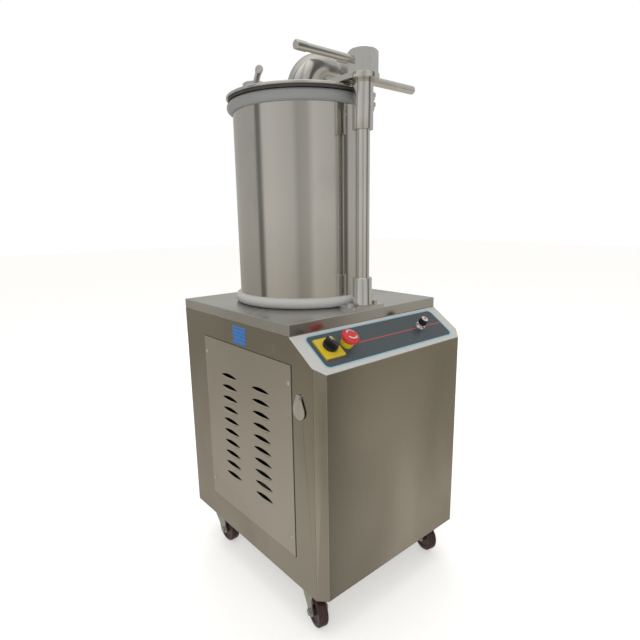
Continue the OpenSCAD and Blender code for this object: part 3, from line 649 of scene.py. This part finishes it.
def make_camera():
    data = bpy.data.cameras.new("camera")
    cam = bpy.data.objects.new("camera", data)
    bpy.context.scene.collection.objects.link(cam)
    data.sensor_width = 36
    data.lens = 27.59
    yaw, pitch, roll = math.radians(49.38), math.radians(12.07), math.radians(0.874)
    ahead = Vector((math.cos(yaw) * math.cos(pitch), math.sin(yaw) * math.cos(pitch), -math.sin(pitch)))
    level = Vector((math.sin(yaw), -math.cos(yaw), 0))
    up = level.cross(ahead)
    right = math.cos(roll) * level - math.sin(roll) * up
    up = right.cross(ahead)
    cam.matrix_world = Matrix.Translation((-0.925, -0.9863, 0.9324)) @ Matrix(
        ((right.x, up.x, -ahead.x), (right.y, up.y, -ahead.y), (right.z, up.z, -ahead.z))
    ).to_4x4()
    data.clip_end = 50
    bpy.context.scene.camera = cam


def make_floor():
    mesh = bpy.data.meshes.new("floor")
    work = bmesh.new()
    bmesh.ops.create_grid(work, x_segments=1, y_segments=1, size=14)
    work.to_mesh(mesh)
    work.free()
    obj = bpy.data.objects.new("floor", mesh)
    bpy.context.scene.collection.objects.link(obj)
    made = Mat("floor_paint", (0.86, 0.86, 0.85), rough=0.75, Emission_Strength=0.42)
    made.shader.inputs["Emission Color"].default_value = (1, 1, 1, 1)
    made.vary_rough(made.noise(size=3, detail=3), 0.1)
    paint(obj, made.done())
    obj.visible_glossy = False


def make_world():
    """A white room to the eye; reflections see a warm grey workshop with soft vertical bands."""
    world = bpy.data.worlds.new("studio")
    bpy.context.scene.world = world
    world.use_nodes = True
    tree = world.node_tree
    tree.nodes.clear()
    link = tree.links.new
    coord = tree.nodes.new("ShaderNodeTexCoord")
    split = tree.nodes.new("ShaderNodeSeparateXYZ")
    link(coord.outputs["Generated"], split.inputs["Vector"])
    angle = tree.nodes.new("ShaderNodeMath")
    angle.operation = "ARCTAN2"
    link(split.outputs["Y"], angle.inputs[0])
    link(split.outputs["X"], angle.inputs[1])
    turn = tree.nodes.new("ShaderNodeMapRange")
    turn.inputs["From Min"].default_value = -math.pi
    turn.inputs["From Max"].default_value = math.pi
    link(angle.outputs["Value"], turn.inputs["Value"])
    bands = tree.nodes.new("ShaderNodeValToRGB")
    ramp = bands.color_ramp
    while len(ramp.elements) < len(WORLD_BANDS):
        ramp.elements.new(0.5)
    for element, (degrees, value) in zip(ramp.elements, WORLD_BANDS):
        element.position = degrees / 360 + 0.5
        element.color = (value, value * 0.985, value * 0.955, 1)
    link(turn.outputs["Result"], bands.inputs["Fac"])
    height = tree.nodes.new("ShaderNodeValToRGB")
    while len(height.color_ramp.elements) < len(WORLD_HEIGHTS):
        height.color_ramp.elements.new(0.5)
    for element, (level, colour) in zip(height.color_ramp.elements, WORLD_HEIGHTS):
        element.position = level
        element.color = (*colour, 1)
    up = tree.nodes.new("ShaderNodeMapRange")
    up.inputs["From Min"].default_value = -1
    link(split.outputs["Z"], up.inputs["Value"])
    link(up.outputs["Result"], height.inputs["Fac"])
    both = tree.nodes.new("ShaderNodeMix")
    both.data_type = "RGBA"
    both.blend_type = "MULTIPLY"
    both.inputs["Factor"].default_value = 1
    link(bands.outputs["Color"], both.inputs["A"])
    link(height.outputs["Color"], both.inputs["B"])
    seen = tree.nodes.new("ShaderNodeBackground")
    seen.inputs["Color"].default_value = (0.96, 0.96, 0.96, 1)
    seen.inputs["Strength"].default_value = 1.05
    lit = tree.nodes.new("ShaderNodeBackground")
    link(both.outputs["Result"], lit.inputs["Color"])
    lit.inputs["Strength"].default_value = 1.15
    path = tree.nodes.new("ShaderNodeLightPath")
    pick = tree.nodes.new("ShaderNodeMixShader")
    link(path.outputs["Is Camera Ray"], pick.inputs["Fac"])
    link(lit.outputs["Background"], pick.inputs[1])
    link(seen.outputs["Background"], pick.inputs[2])
    out = tree.nodes.new("ShaderNodeOutputWorld")
    link(pick.outputs["Shader"], out.inputs["Surface"])


# Compass direction in degrees, and how bright the room's wall is there
WORLD_BANDS = [
    (-180, 0.62), (-145, 0.54), (-136, 0.40), (-120, 0.44), (-110, 0.62), (-74, 0.54), (-66, 0.13), (-49, 0.15),
    (-45, 0.52), (30, 0.50), (95, 0.46), (148, 0.46), (151, 0.17), (158, 0.20), (164, 0.62),
]
# Height of the direction, 0 straight down to 1 straight up, and the room's colour there
WORLD_HEIGHTS = [
    (0.0, (0.60, 0.58, 0.53)), (0.22, (1.05, 0.99, 0.89)), (0.38, (0.68, 0.64, 0.55)), (0.50, (0.96, 0.95, 0.92)),
    (0.66, (0.88, 0.88, 0.88)), (0.80, (0.95, 0.96, 0.97)), (1.0, (1.7, 1.7, 1.7)),
]


def area_light(name, place, target, size, watts, tint=(1, 1, 1)):
    data = bpy.data.lights.new(name, "AREA")
    data.shape = "RECTANGLE"
    data.size, data.size_y = size
    data.energy = watts
    data.color = tint
    light = bpy.data.objects.new(name, data)
    bpy.context.scene.collection.objects.link(light)
    light.location = place
    light.rotation_mode = "QUATERNION"
    light.rotation_quaternion = (Vector(target) - Vector(place)).to_track_quat("-Z", "Y")
    light.visible_camera = False
    light.visible_glossy = False


make_camera()
make_world()
make_floor()
area_light("key", (-1.9, -2.2, 1.9), (0, 0, 0.6), (1.6, 1.6), 16)
area_light("top", (0.2, 0.4, 3.2), (0, 0, 0.7), (2.4, 2.4), 22)
area_light("rear", (1.2, 2.6, 1.8), (0, 0, 0.6), (1.6, 1.6), 14)
bpy.context.scene.view_settings.view_transform = "Standard"
